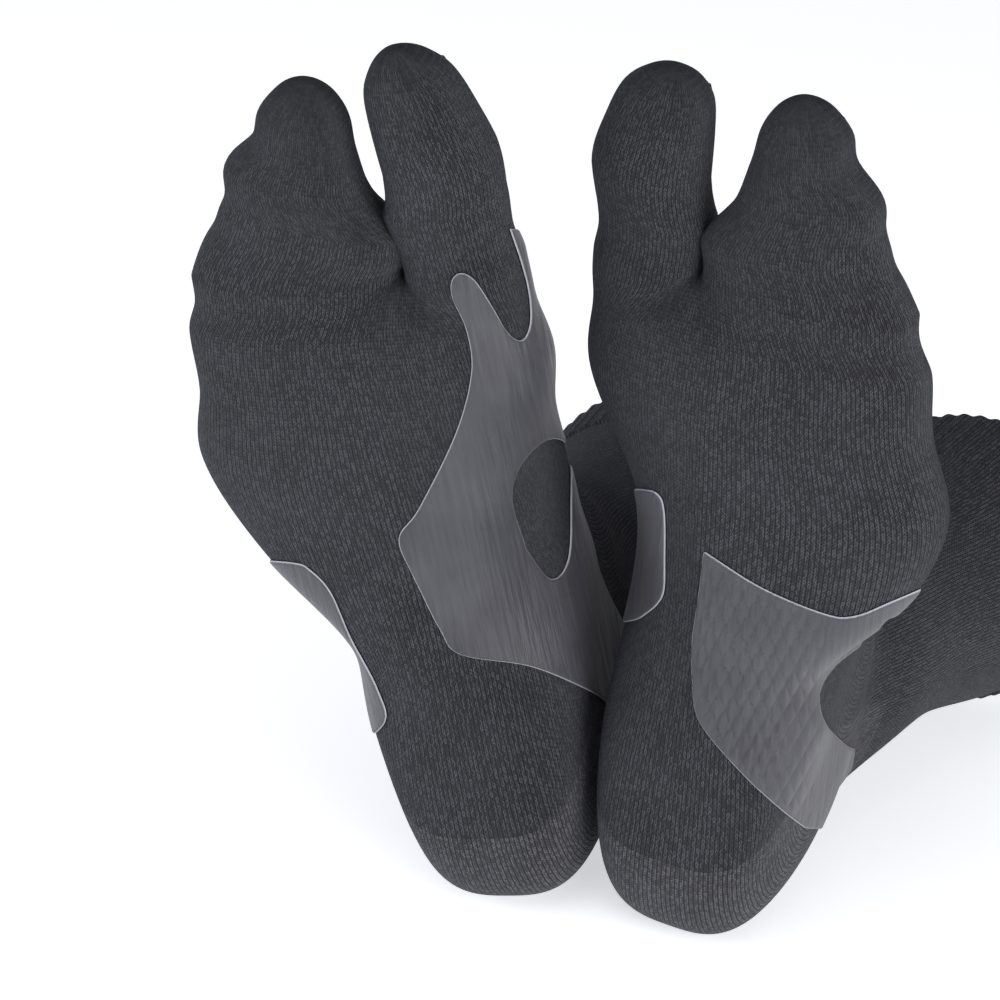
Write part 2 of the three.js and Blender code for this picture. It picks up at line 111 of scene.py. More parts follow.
# Sections of the leg and foot tube: top a, top h, bottom a, bottom h, medial half width,
# lateral half width, exponent at the top, exponent at the bottom.
TUBE = [
    [91, LEG_LENGTH, 0, LEG_LENGTH, 42.7, 42.7, 2, 2],
    [88, 150, 6, 150, 38.7, 38.7, 2, 1.95],
    [85, 125, 11, 122, 35.2, 35.2, 2, 1.85],
    [87, 107, 9, 92, HEEL_HALF + 4.8, HEEL_HALF + 4.6, 2.1, 1.85],
    [91, 98, 2, 60, HEEL_HALF + 3, HEEL_HALF - 3.6, 2.1, 2],
    [95, 93, 0, 32, HEEL_HALF + 1, HEEL_HALF - 1.8, 2.45, 2.9],
    [99, 90, 5, 10, HEEL_HALF, HEEL_HALF - 1.3, 2.45, 3],
    [104, 86, 24, 0, HEEL_HALF, HEEL_HALF - 0.8, 2.1, 3.2],
    [111, 80, 52, 0, HEEL_HALF + 0.8, HEEL_HALF + 1.6, 2.1, 3.3],
    [120, 73, 85, 1.5, HEEL_HALF + 1, HEEL_HALF + 3.5, 2.1, 2.7],
    [133, 64, 117, 2.5, BALL_MEDIAL - 7.2, BALL_LATERAL - 1.7, 2.1, 2.8],
    [152, 53, 148, 1, BALL_MEDIAL - 5.3, BALL_LATERAL + 5.7, 2.2, 2.9],
    [173, 43, 174, -1, BALL_MEDIAL - 0.3, BALL_LATERAL - 0.7, 2.3, 3],
    [TOE_LINE - 16, 37, TOE_LINE - 14, 0, BALL_MEDIAL - 1.2, BALL_LATERAL - 2.5, 2.4, 2.8],
    [TOE_LINE - 2, 32, TOE_LINE, 2, BALL_MEDIAL, BALL_LATERAL - 6.5, 2.4, 2.6],
]
TUBE_END = float(len(TUBE) - 1)
# Two points on each toe pocket: across, along, above the sole. The pockets are not bent about them.
TOE_BEND = {
    "big_toe": ((25, 208, 16), (25, 226, 16)),
    "toes": ((-18, 208, 16), (-18, 226, 16)),
}
# Knitted zones, in steps of the table of sections.
ZONES = {"cuff": (0.0, 0.85), "leg": (0.85, 1.8), "ankle": (1.8, 3.6), "heel": (3.6, 7.4),
         "arch": (7.4, 10.0), "ball": (10.0, 13.4), "divide": (13.4, TUBE_END)}

# Sections of the toe pockets: distance past the toe line, medial edge, lateral edge, top, bottom.
LOBES = {
    "big": {
        "rows": [[0, 38.6, 9.5, 31, 3], [6.4, 38.3, 10, 29.5, 4],
                 [15, 40.4, 10.5, 28.5, 3], [25.7, 41.5, 11.2, 28, 1],
                 [36.4, 39.5, 12.1, 26.5, 1.5], [43.9, 37.2, 13.2, 24, 3.6],
                 [TOE_LENGTH - 1.8, 33, 16.2, 21.2, 5.8]],
        "pivot": 26.0, "sign": 1, "girth": 95,
    },
    "four": {
        "rows": [[0, 8.5, -47.4, 30, 2], [6.8, 8.5, -43.6, 28, 3.5],
                 [15.8, 6, -39.4, 26, 3], [24.8, -0.5, -38.8, 24, 2],
                 [33.8, -4.8, -32.8, 22, 2], [40.6, -7.2, -30.2, 20.8, 3.2],
                 [TOE_LENGTH - 5, -10.6, -27, 18, 5.6]],
        "pivot": -20.0, "sign": -1, "girth": 140,
    },
}

# Outlines of the films, mm across and up from the middle of the foot, drawn square to a
# direction: around the foot from the sole's own direction, and above it.
FOOT_MIDDLE = (0.0, 20.0, 110.0)
FILM_LIMIT = {"a": 110.0, "h": 52.0, "slope": 16.0}
FILM_SPAN = (3.8, TUBE_END)
FILM_BEYOND = 16.0  # how far past the toe line films can reach
FILMS = {
    "right_medial_film": {
        "around": 20, "above": 33, "lattice": False, "on_toe": True,
        "edge": [
            [[-8.6, -0.6], [-10.2, 10.6], [-3.3, 17.3], [9.9, 33.4], [17, 47], [18, 57.5],
             [16.4, 65.5], [17.2, 69.6], [19.8, 70.8], [22.6, 68.4], [25.3, 62], [28, 54.5],
             [31, 52.3], [33.8, 56], [35, 63], [34.6, 71], [33.5, 79]],
            [[33.5, 79], [50, 79]],
            [[50, 79], [50, 20], [46, -30], [37.7, -49.3]],
            [[37.7, -49.3], [30.1, -40.7], [16.1, -30.2], [-1.3, -22.7], [-5.1, -15], [-8.6, -0.6]],
        ],
        "window": [
            [[21.6, 0.8], [20.7, 14.6], [25.3, 23.1], [33.1, 27.4], [38.4, 24.3], [36.2, 11.1],
             [32.2, -4.3], [26.4, -8.5], [21.6, 0.8]],
        ],
    },
    "right_lateral_film": {
        "around": 20, "above": 33, "lattice": False, "on_toe": False,
        "edge": [
            [[-61.8, 17], [-50.1, 14.1], [-38.2, 10.6], [-34.7, 8], [-30.8, 1.1], [-28.4, -12.5],
             [-24.7, -27.5], [-25.3, -37.2], [-38.5, -42.9], [-61.8, -46]],
            [[-61.8, -46], [-61.8, 17]],
        ],
    },
    "left_lateral_film": {
        "around": -21, "above": 33, "lattice": True, "on_toe": False,
        "edge": [
            [[3.7, 10.1], [-11.5, 2.3], [-27.8, -2.8], [-35.7, -2.8], [-45.3, 2.1], [-60, 10]],
            [[-60, 10], [-60, 0], [-45.2, -2.4], [-41.6, -9.4], [-33.1, -16.8], [-29.8, -23.7],
             [-31.8, -31.4], [-37.7, -37.4], [-44, -41], [-56, -44]],
            [[-56, -44], [-56, -66], [-30, -62]],
            [[-30, -62], [-22.3, -56], [-10.9, -46.6], [0.8, -34.5], [3.6, -24.2], [4.6, -13.8],
             [4, -0.5], [3.7, 10.1]],
        ],
    },
    "left_medial_film": {
        "around": -21, "above": 33, "lattice": False, "on_toe": False,
        "edge": [
            [[52, 26], [35.6, 25.6], [22.3, 24.7], [16.9, 23.7], [14.6, 19.1], [13.4, 6.5],
             [13, -0.8], [14.2, -4.4], [17.1, -7.5], [21.1, -10], [32, -12.4], [52, -16]],
            [[52, -16], [52, 26]],
        ],
    },
}


# ---- mathematics -----------------------------------------------------------------------------
def step(x, low, high):
    """Smooth rise from 0 at low to 1 at high: 3t^2 - 2t^3 of the clamped share t."""
    t = np.clip((np.asarray(x, float) - low) / (high - low), 0, 1)
    return t * t * (3 - 2 * t)


def bell(x, centre, width):
    """exp(-((x - centre) / width)^2)."""
    return np.exp(-(((np.asarray(x, float) - centre) / width) ** 2))


def power(x, exponent):
    """|x| to the exponent, with the sign of x."""
    return np.sign(x) * np.abs(x) ** exponent


def row_at(rows, place):
    """A row between the rows of a table, on a uniform Catmull-Rom spline, with a straight run past
    each end."""
    rows = np.asarray(rows, float)
    whole = np.vstack([2 * rows[:1] - rows[1:2], rows, 2 * rows[-1:] - rows[-2:-1]])
    i = np.clip(np.floor(place).astype(int), 0, len(rows) - 2)
    f = (place - i)[:, None]
    p, q, r, s = (whole[i + k] for k in range(4))
    square, cube = 2 * p - 5 * q + 4 * r - s, 3 * q - p - 3 * r + s
    return 0.5 * (2 * q + (r - p) * f + square * f**2 + cube * f**3)


def along(x, y, share):
    """Each row's curve x, y sampled at shares of its own length."""
    length = np.concatenate(
        [np.zeros((len(x), 1)), np.cumsum(np.hypot(np.diff(x), np.diff(y)), axis=1)], axis=1
    )
    wanted = share * length[:, -1:]
    pick = [(np.interp(w, l, c), np.interp(w, l, d)) for w, l, c, d in zip(wanted, length, x, y)]
    return np.array([p[0] for p in pick]), np.array([p[1] for p in pick])


# ---- the foot's form -------------------------------------------------------------------------
def tube_section(place, column):
    """The tube's rings before relief: superellipses, |across|^p + |up|^p = 1, whose power runs from
    the top's to the bottom's, with points at equal steps of length on each side of the foot."""
    rows = row_at(TUBE, place)
    angle = np.linspace(0, 2 * np.pi, SECTION_POINTS)
    exponent = 2 / (rows[:, 6:7] + (rows[:, 7:8] - rows[:, 6:7]) * (1 - np.cos(angle)) / 2)
    width = np.where(np.sin(angle) >= 0, rows[:, 4:5], rows[:, 5:6])
    half = np.hypot(rows[:, 0] - rows[:, 2], rows[:, 1] - rows[:, 3])[:, None] / 2
    across = power(np.sin(angle), exponent) * width
    up = power(np.cos(angle), exponent)
    middle = SECTION_POINTS // 2 + 1
    share = np.asarray(column, float) * 2 / COLUMNS
    medial = share <= 1
    b1, u1 = along(across[:, :middle], up[:, :middle] * half, share[medial])
    b2, u2 = along(across[:, middle - 1:], up[:, middle - 1:] * half, share[~medial] - 1)
    b = np.concatenate([b1, b2], axis=1)
    u = np.concatenate([u1, u2], axis=1) / half
    a = (rows[:, 0:1] + rows[:, 2:3] + u * (rows[:, 0:1] - rows[:, 2:3])) / 2
    h = (rows[:, 1:2] + rows[:, 3:4] + u * (rows[:, 1:2] - rows[:, 3:4])) / 2
    return b, a, h


def relief(b, a, h):
    """Lifts the arch and draws it in on the medial side, and lets the instep fall to the lateral
    side: bells along the sole, times smooth rises across it and up the flank."""
    sole = 1 - step(h, 5, 60)
    flank = 1 - step(h, 0, 50)
    foot = step(a, 45, 85) * (1 - step(h, 55, 95))
    slope = foot * step(a, 85, 140) * step(h, 15, 45) * np.maximum(0, 30 - b)
    return (
        b - ARCH_DRAW * bell(a, 118, 32) * step(b, 10, 30) * flank,
        a,
        h + ARCH_LIFT * bell(a, 112, 38) * step(b, -12, 30) * sole - INSTEP_FALL * slope,
    )


def turn_leg(sock, place, b, a, h):
    """Bends the leg about the ankle in the foot's plane and swings it sideways."""
    bent = np.radians(sock["ankle_bend"]) * (1 - step(place, 1.6, 5.2))[:, None]
    swung = np.tan(np.radians(sock["leg_yaw"]) * (1 - step(place, 1, 4)))[:, None]
    fore, up = a - ANKLE[0], h - ANKLE[1]
    return (
        b + np.maximum(up, 0) * swung,
        ANKLE[0] + fore * np.cos(bent) - up * np.sin(bent),
        ANKLE[1] + fore * np.sin(bent) + up * np.cos(bent),
    )


def division():
    """The two columns, over the foot and under it, where the big toe parts from the others."""
    column = np.arange(COLUMNS + 1)
    b = tube_section(np.array([TUBE_END]), column)[0][0]
    top = np.argmin(np.abs(b[: COLUMNS // 4] - CROTCH))
    bottom = COLUMNS // 4 + np.argmin(np.abs(b[COLUMNS // 4: COLUMNS // 2] - CROTCH))
    return int(top), int(bottom)


TOP, BOTTOM = division()


def lobe_rows(lobe):
    """A pocket's sections as distance, middle across, middle height and the squares of the half
    width and half height, with the tip's own row, where both squares are zero: squares that fall
    evenly to zero give a round tip."""
    past, medial, lateral, top, bottom = np.asarray(lobe["rows"], float).T
    table = np.stack([past, (medial + lateral) / 2, (top + bottom) / 2,
                      ((medial - lateral) / 2) ** 2, ((top - bottom) / 2) ** 2], axis=1)
    tip = table[-1] + np.array([TIP, 0, 0, 0, 0])
    tip[1:3] += (table[-1, 1:3] - table[-2, 1:3]) * TIP / (table[-1, 0] - table[-2, 0])
    tip[3:] = 0
    return np.vstack([table, tip])


def lobe_ring(sock, lobe, past, share):
    """A toe pocket's rings: near-ellipses from edge to edge, held together at the crotch as far as
    the web reaches, splayed in the plane of the sole about a point on the toe line. Share 0 and 1
    are the side that faces the other pocket. The small toes' joints swell the lateral edge."""
    rows = lobe_rows(lobe)
    fine = np.linspace(0, len(rows) - 1, 800)
    row = row_at(rows, np.interp(past, row_at(rows, fine)[:, 0], fine))
    sign = lobe["sign"]
    half_b, half_h = np.sqrt(np.maximum(row[:, 3:5], 1e-8)).T
    medial, lateral = row[:, 1] + half_b, row[:, 1] - half_b
    beyond = past - sock["web"]
    apart = np.clip(beyond / 10, 0, 1) * sock["gap"] * sign
    medial = medial + apart * (0.5 if sign > 0 else 1)
    lateral = lateral + apart * (1 if sign > 0 else 0.5)
    opened = np.sqrt(1 - (1 - np.clip(beyond / 7, 0, 1)) ** 2)
    if sign > 0:
        lateral = CROTCH + (lateral - CROTCH) * opened
    else:
        medial = CROTCH + (medial - CROTCH) * opened
        swell = np.cos(2 * np.pi * (past - TOE_JOINT) / TOE_PITCH)
        lateral = lateral - TOE_SWELL * swell * step(past, 4, 12) * (1 - step(past, 38, 46))
    start = -np.pi / 2 if sign > 0 else np.pi / 2
    angle = start + np.linspace(0, 2 * np.pi, 721)
    b = power(np.sin(angle), POCKET_POWER) * (np.maximum(medial - lateral, 1e-4) / 2)[:, None]
    h = power(np.cos(angle), POCKET_POWER) * half_h[:, None]
    b, h = along(b, h, share)
    b = (medial + lateral)[:, None] / 2 + b
    h = row[:, 2:3] + h
    reach = past * (1 + sock["big_reach" if sign > 0 else "four_reach"] * past / TOE_LENGTH**2)
    a = np.broadcast_to((TOE_LINE + reach)[:, None], b.shape)
    turn = np.radians(sock["big_turn" if sign > 0 else "four_turn"])
    amount = step(a, TOE_LINE - 6, TOE_LINE + 14)
    side, fore = b - lobe["pivot"], a - TOE_LINE
    return (
        lobe["pivot"] + side * (1 + (np.cos(turn) - 1) * amount) + fore * np.sin(turn) * amount,
        TOE_LINE + fore * (1 + (np.cos(turn) - 1) * amount) - side * np.sin(turn) * amount,
        h,
    )


def shares(column):
    """For columns of the tube: which belong to the big toe, and the share of each lobe's ring."""
    column = np.asarray(column, float) % COLUMNS
    big = (column >= TOP) & (column <= BOTTOM)
    on_big = (column - TOP) / (BOTTOM - TOP)
    on_four = ((column - BOTTOM) % COLUMNS) / (COLUMNS - BOTTOM + TOP)
    return big, np.where(big, on_big, on_four)


def met_lobe(sock, name, past, share):
    """The lobe's rings, drawn at the toe line to the one point where the two lobes meet."""
    ring = lobe_ring(sock, LOBES[name], past, share)
    start = np.array([0.0])
    ends = {n: np.array(lobe_ring(sock, LOBES[n], start, start))[:, 0, 0] for n in LOBES}
    pull = (ends["big"] + ends["four"]) / 2 - ends[name]
    around = np.minimum(share, 1 - share) * LOBES[name]["girth"]
    near = bell(around, 0, MEET_AROUND)[None, :]
    near = near * np.where(past > 0, bell(past, 0, MEET_ALONG), 1)[:, None]
    return tuple(ring[k] + pull[k] * near for k in range(3))


def tube_points(sock, place, column):
    """The knit's outer face over the tube, in the foot frame: the sections with relief, the leg
    turned, and over the last step the ring drawn in towards the two toe pockets."""
    b, a, h = tube_section(place, column)
    b, a, h = turn_leg(sock, place, *relief(b, a, h))
    share_in = np.clip(place - (TUBE_END - 1), 0, 1)
    if share_in.max() > 0:
        big, share = shares(column)
        past = (np.minimum(place, TUBE_END) - TUBE_END) * LAST_STEP
        lobes = [met_lobe(sock, n, past, share) for n in LOBES]
        steep = 1 - np.sqrt(1 - share_in**2)
        gentle = step(share_in, 0, 1)
        c = np.asarray(column, float) % COLUMNS
        gap = np.minimum.reduce([np.abs(c - TOP), np.abs(c - BOTTOM), np.abs(c - TOP - COLUMNS)])
        far = step(gap, 0, 14)
        s = steep[:, None] * (1 - far) + gentle[:, None] * far
        b, a, h = (
            (1 - s) * tube + s * np.where(big, one, other)
            for tube, one, other in zip((b, a, h), *lobes)
        )
    return np.stack([b, a, h], axis=-1)


# ---- placing ---------------------------------------------------------------------------------
def sock_matrix(sock):
    """The turn from the foot frame's x, y, z = side * b, h, a to the pair's frame: about x, then y,
    then z."""
    x, y, z = np.radians(sock["turn"])
    about_x = np.array([[1, 0, 0], [0, np.cos(x), -np.sin(x)], [0, np.sin(x), np.cos(x)]])
    about_y = np.array([[np.cos(y), 0, np.sin(y)], [0, 1, 0], [-np.sin(y), 0, np.cos(y)]])
    about_z = np.array([[np.cos(z), -np.sin(z), 0], [np.sin(z), np.cos(z), 0], [0, 0, 1]])
    return about_z @ about_y @ about_x


def placed(sock, points):
    """Points of the foot frame (b, a, h) in the pair's frame, in metres."""
    local = np.stack([sock["side"] * points[..., 0], points[..., 2], points[..., 1]], axis=-1)
    return (local @ sock_matrix(sock).T + np.array(sock["place"])) * MM


# ---- meshes ----------------------------------------------------------------------------------
def grid_triangles(rows, columns, first=0):
    """Two triangles for each cell of a grid of points."""
    i = first + (np.arange(rows - 1)[:, None] * columns + np.arange(columns - 1)).ravel()
    a, b, c, d = i, i + 1, i + columns + 1, i + columns
    return np.concatenate([np.stack([a, b, c], 1), np.stack([a, c, d], 1)])


def weld(points):
    """The number of the first point at each point's place."""
    keys = np.round(points / 2e-6).astype(np.int64)
    _, first, back = np.unique(keys, axis=0, return_index=True, return_inverse=True)
    return first[back.reshape(-1)]


def smooth_normals(points, triangles):
    """Each point's normal: the sum of the area vectors of the triangles that meet at its place."""
    same = weld(points)
    corner = points[triangles]
    area = np.cross(corner[:, 1] - corner[:, 0], corner[:, 2] - corner[:, 0])
    total = np.zeros_like(points)
    for k in range(3):
        for axis in range(3):
            total[:, axis] += np.bincount(same[triangles[:, k]], area[:, axis], len(points))
    total = total[same]
    return total / np.maximum(np.linalg.norm(total, axis=1, keepdims=True), 1e-15)


def trim(points, values, triangles, extra):
    """Keeps the part of the triangles where the values are below zero, with new points on the
    line where they pass through zero. Extra holds other arrays to carry over."""
    inside = values[triangles] < 0
    count = inside.sum(1)
    kept = [triangles[count == 3]]
    cut_a, cut_b = [], []
    parts = []
    for k in (1, 2):
        some = triangles[count == k]
        odd = inside[count == k] if k == 1 else ~inside[count == k]
        first = odd.argmax(1)
        rolled = some[np.arange(len(some))[:, None], (first[:, None] + np.arange(3)) % 3]
        parts.append(rolled)
        cut_a += [rolled[:, 0], rolled[:, 0]]
        cut_b += [rolled[:, 1], rolled[:, 2]]
    a, b = np.concatenate(cut_a), np.concatenate(cut_b)
    low, high = np.minimum(a, b), np.maximum(a, b)
    keys, index = np.unique(low * len(points) + high, return_inverse=True)
    low, high = keys // len(points), keys % len(points)
    share = (values[low] / (values[low] - values[high]))[:, None]
    merged = [np.concatenate([e, e[low] * (1 - share) + e[high] * share]) for e in [points, *extra]]
    index = index.reshape(-1) + len(points)
    sizes = np.cumsum([len(c) for c in cut_a])[:-1]
    one1, one2, two1, two2 = np.split(index, sizes)
    one, two = parts
    kept.append(np.stack([one[:, 0], one1, one2], 1))
    kept.append(np.stack([two1, two[:, 1], two[:, 2]], 1))
    kept.append(np.stack([two1, two[:, 2], two2], 1))
    return merged[0], np.concatenate(kept), merged[1:]


def build(name, points, triangles, uv, normals, material, inset=None):
    """A mesh object from points in metres, its triangles, the map of each point and its normals.
    Points at one place are welded, and the map is kept at the corners. Inset is each point's
    distance from the piece's cut edge, in millimetres."""
    same = weld(points)
    welded = same[triangles]
    good = (welded != np.roll(welded, 1, axis=1)).all(axis=1)
    corners, welded = triangles[good], welded[good]
    used, compact = np.unique(welded, return_inverse=True)
    mesh = bpy.data.meshes.new(name)
    mesh.vertices.add(len(used))
    mesh.vertices.foreach_set("co", points[used].astype(np.float32).ravel())
    mesh.loops.add(welded.size)
    mesh.loops.foreach_set("vertex_index", compact.reshape(-1).astype(np.int32))
    mesh.polygons.add(len(welded))
    mesh.polygons.foreach_set("loop_start", np.arange(0, welded.size, 3, dtype=np.int32))
    layer = mesh.uv_layers.new(name="stitches")
    layer.data.foreach_set("uv", uv[corners].astype(np.float32).reshape(-1))
    mesh.materials.append(material)
    if inset is not None:
        attribute = mesh.attributes.new("inset", "FLOAT", "POINT")
        attribute.data.foreach_set("value", inset[used].astype(np.float32))
    mesh.update(calc_edges=True)
    mesh.normals_split_custom_set(normals[corners].reshape(-1, 3).tolist())
    piece = bpy.data.objects.new(name, mesh)
    bpy.context.scene.collection.objects.link(piece)
    return piece


def plate(name, outer, inner, triangles, uv, normals, material, inset=None):
    """A sheet with a thickness: its outer face, its inner face turned round, and a wall along every
    open edge between them."""
    count = len(outer)
    same = weld(outer)
    welded = same[triangles]
    pairs = np.concatenate([welded[:, [0, 1]], welded[:, [1, 2]], welded[:, [2, 0]]])
    real = np.concatenate([triangles[:, [0, 1]], triangles[:, [1, 2]], triangles[:, [2, 0]]])
    alive = pairs[:, 0] != pairs[:, 1]
    pairs, real = pairs[alive], real[alive]
    keys = np.sort(pairs, axis=1) @ np.array([count, 1])
    _, back, times = np.unique(keys, return_inverse=True, return_counts=True)
    rim = real[times[back.reshape(-1)] == 1]
    a, b = rim[:, 0], rim[:, 1]
    wall_points = np.concatenate([outer[a], outer[b], inner[b], inner[a]])
    side = np.cross(outer[b] - outer[a], inner[a] - outer[a])
    side = -side / np.maximum(np.linalg.norm(side, axis=1, keepdims=True), 1e-15)
    n = len(rim)
    base = 2 * count + np.arange(n)
    wall = np.concatenate([
        np.stack([base + n, base, base + 3 * n], 1),
        np.stack([base + n, base + 3 * n, base + 2 * n], 1),
    ])
    points = np.concatenate([outer, inner, wall_points])
    whole = np.concatenate([triangles, triangles[:, ::-1] + count, wall])
    maps = np.concatenate([uv, uv, uv[a], uv[b], uv[b], uv[a]])
    directions = np.concatenate([normals, -normals, -side, -side, -side, -side])
    if inset is not None:
        inset = np.concatenate([inset, inset, np.zeros(4 * n)])
    return build(name, points, whole, maps, directions, material, inset)


# ---- materials -------------------------------------------------------------------------------
def linear(code):
    """An sRGB hex colour as linear RGBA."""
    value = np.array([int(code[i: i + 2], 16) for i in (0, 2, 4)]) / 255
    value = np.where(value <= 0.04045, value / 12.92, ((value + 0.055) / 1.055) ** 2.4)
    return (*value.tolist(), 1.0)


def add(tree, kind, inputs=None, **settings):
    """Adds a node with its settings; each input is a value or another node's output."""
    node = tree.nodes.new(kind)
    for key, value in settings.items():
        setattr(node, key, value)
    for key, value in (inputs or {}).items():
        if isinstance(value, bpy.types.NodeSocket):
            tree.links.new(value, node.inputs[key])
        else:
            node.inputs[key].default_value = value
    return node.outputs


def shader(name, colour, bump, roughness, **values):
    """A material with a Principled shader; colour and bump are made by functions that add nodes."""
    material = bpy.data.materials.new(name)
    material.use_nodes = True
    tree = material.node_tree
    tree.nodes.clear()
    put = functools.partial(add, tree)
    height, distance = bump(put)
    normal = put("ShaderNodeBump", {"Height": height, "Distance": distance, "Strength": 1.0})["Normal"]
    settings = {"Base Color": colour(put, height), "Roughness": roughness, "Normal": normal}
    settings.update({key.replace("_", " "): value for key, value in values.items()})
    out = put("ShaderNodeBsdfPrincipled", settings)
    put("ShaderNodeOutputMaterial", {"Surface": out["BSDF"]})
    return material


def stitch_height(put):
    """Jersey stitches on the stitch map: two slanting strands to a wale, a deep groove between
    wales, a shallow one down the middle, and a dip between courses."""
    uv = put("ShaderNodeUVMap", uv_map="stitches")["UV"]
    parts = put("ShaderNodeSeparateXYZ", {0: uv})
    side = put("ShaderNodeMath", {0: parts["X"], 1: 0.5}, operation="PINGPONG")[0]
    rise = put("ShaderNodeMath", {0: side, 1: -2.0, 2: parts["Y"]}, operation="MULTIPLY_ADD")[0]
    turn = put("ShaderNodeMath", {0: rise, 1: 2 * np.pi}, operation="MULTIPLY")[0]
    wave = put("ShaderNodeMath", {0: turn}, operation="SINE")[0]
    course = put("ShaderNodeMath", {0: wave, 1: 0.24, 2: 0.76}, operation="MULTIPLY_ADD")[0]
    flank = put("ShaderNodeMapRange", {"Value": side, "From Min": 0.0, "From Max": 0.24},
                interpolation_type="SMOOTHSTEP")[0]
    spine = put("ShaderNodeMapRange", {"Value": side, "From Min": 0.5, "From Max": 0.3, "To Min": 0.72},
                interpolation_type="SMOOTHSTEP")[0]
    strand = put("ShaderNodeMath", {0: flank, 1: spine}, operation="MULTIPLY")[0]
    return put("ShaderNodeMath", {0: strand, 1: course}, operation="MULTIPLY")[0]


def knit(name, dark, light, bump_mm):
    """Covered elastane and polyester jersey: dark heathered yarn, flecks of light filament, and a
    soft sheen, with painted shade darkening the grooves between stitches. It is matt, because the
    filaments lie in every direction."""

    def bump(put):
        return stitch_height(put), bump_mm * MM

    def colour(put, height):
        uv = put("ShaderNodeUVMap", uv_map="stitches")["UV"]
        cell = put("ShaderNodeVectorMath", {0: uv, 1: (2.0, 1.0, 1.0)}, operation="MULTIPLY")[0]
        cell = put("ShaderNodeVectorMath", {0: cell}, operation="FLOOR")[0]
        chance = put("ShaderNodeTexWhiteNoise", {"Vector": cell}, noise_dimensions="2D")["Value"]
        where = put("ShaderNodeTexCoord")["Object"]
        fuzz = put("ShaderNodeTexNoise", {"Vector": where, "Scale": 1300.0, "Detail": 2.0})[0]
        cloud = put("ShaderNodeTexNoise", {"Vector": where, "Scale": 55.0, "Detail": 2.0})[0]
        lit = put("ShaderNodeMath", {0: chance, 1: fuzz}, operation="MULTIPLY")[0]
        flecks = put("ShaderNodeMapRange", {"Value": lit, "From Min": 0.12, "From Max": 0.5},
                     interpolation_type="SMOOTHSTEP")[0]
        # crest: colour goes dark in the grooves between wales and between courses, painted shade in the
        # knit's hollows
        crest = put("ShaderNodeMapRange", {"Value": height, "From Min": 0.25, "From Max": 0.95},
                    interpolation_type="SMOOTHSTEP")[0]
        yarn = put("ShaderNodeMath", {0: flecks, 1: 0.7, 2: 0.25}, operation="MULTIPLY_ADD")[0]
        shade = put("ShaderNodeMath", {0: crest, 1: yarn}, operation="MULTIPLY")[0]
        # random blotches of tone added on top of the painted groove shade
        blotches_and_groove_shade = put("ShaderNodeMath", {0: cloud, 1: 0.2, 2: shade}, operation="MULTIPLY_ADD")[0]
        return put("ShaderNodeMix", {0: blotches_and_groove_shade, 6: linear(dark), 7: linear(light)}, data_type="RGBA")[2]

    return shader(name, colour, bump, 0.88, Sheen_Weight=0.12, Sheen_Roughness=0.5,
                  Sheen_Tint=linear("c3c6d0"), Specular_IOR_Level=0.2)


def film(name, dark, light, edge_highlight, roughness):
    """Heat-bonded elastomer film: smooth grey, faint stretch marks that run aslant, matt gloss, and
    a painted highlight along its cut edge, a paler line in the colour."""

    def bump(put):
        uv = put("ShaderNodeUVMap", uv_map="stitches")["UV"]
        turned = put("ShaderNodeMapping",
                     {"Vector": uv, "Rotation": (0, 0, 0.6), "Scale": (0.8, 0.07, 1.0)})[0]
        streak = put("ShaderNodeTexNoise", {"Vector": turned, "Scale": 1.0, "Detail": 4.0})[0]
        grain = put("ShaderNodeTexNoise", {"Vector": uv, "Scale": 3.0, "Detail": 2.0})[0]
        marks = put("ShaderNodeMath", {0: grain, 1: 0.2, 2: streak}, operation="MULTIPLY_ADD")[0]
        return marks, 0.6 * MM

    def colour(put, height):
        where = put("ShaderNodeTexCoord")["Object"]
        cloud = put("ShaderNodeTexNoise", {"Vector": where, "Scale": 45.0, "Detail": 3.0})[0]
        both = put("ShaderNodeMath", {0: height, 1: 0.8, 2: cloud}, operation="MULTIPLY_ADD")[0]
        share = put("ShaderNodeMapRange", {"Value": both, "From Min": 0.6, "From Max": 1.35})[0]
        plain = put("ShaderNodeMix", {0: share, 6: linear(dark), 7: linear(light)}, data_type="RGBA")[2]
        # within 0.3 mm of the cut edge the colour turns pale: a painted highlight along the film's edge
        inset = put("ShaderNodeAttribute", attribute_name="inset")["Fac"]
        line = put("ShaderNodeMapRange", {"Value": inset, "From Min": 0.3, "From Max": 0.08},
                   interpolation_type="SMOOTHSTEP")[0]
        return put("ShaderNodeMix", {0: line, 6: plain, 7: linear(edge_highlight)}, data_type="RGBA")[2]

    return shader(name, colour, bump, roughness, Sheen_Weight=0.08, Specular_IOR_Level=0.4)


KNIT = knit("compression_jersey", "08080a", "505158", 0.5)
HEEL_KNIT = knit("reinforced_heel_jersey", "0c0c0e", "68686f", 0.42)
RIB = knit("welt_rib", "08080a", "4d4e54", 0.5)
THREAD = knit("linking_thread", "101013", "55565c", 0.3)
# 9b9ca4 is the painted highlight along the films' cut edges
FILM = film("bonded_elastomer_film", "303036", "4a4a51", "9b9ca4", 0.48)


# ---- the knit --------------------------------------------------------------------------------
def zone_places(sock, low, high):
    """Places of the rings between two borders, about one step of length apart under the foot."""
    fine = np.linspace(low, high, 60)
    run = tube_points(sock, fine, np.array([COLUMNS / 2, COLUMNS / 4, COLUMNS * 0.75]))
    length = np.linalg.norm(np.diff(run, axis=0), axis=2).max(axis=1)
    total = np.concatenate([[0], np.cumsum(length)])
    count = max(2, int(np.ceil(total[-1] / ROW_STEP)))
    return np.interp(np.linspace(0, total[-1], count + 1), total, fine)


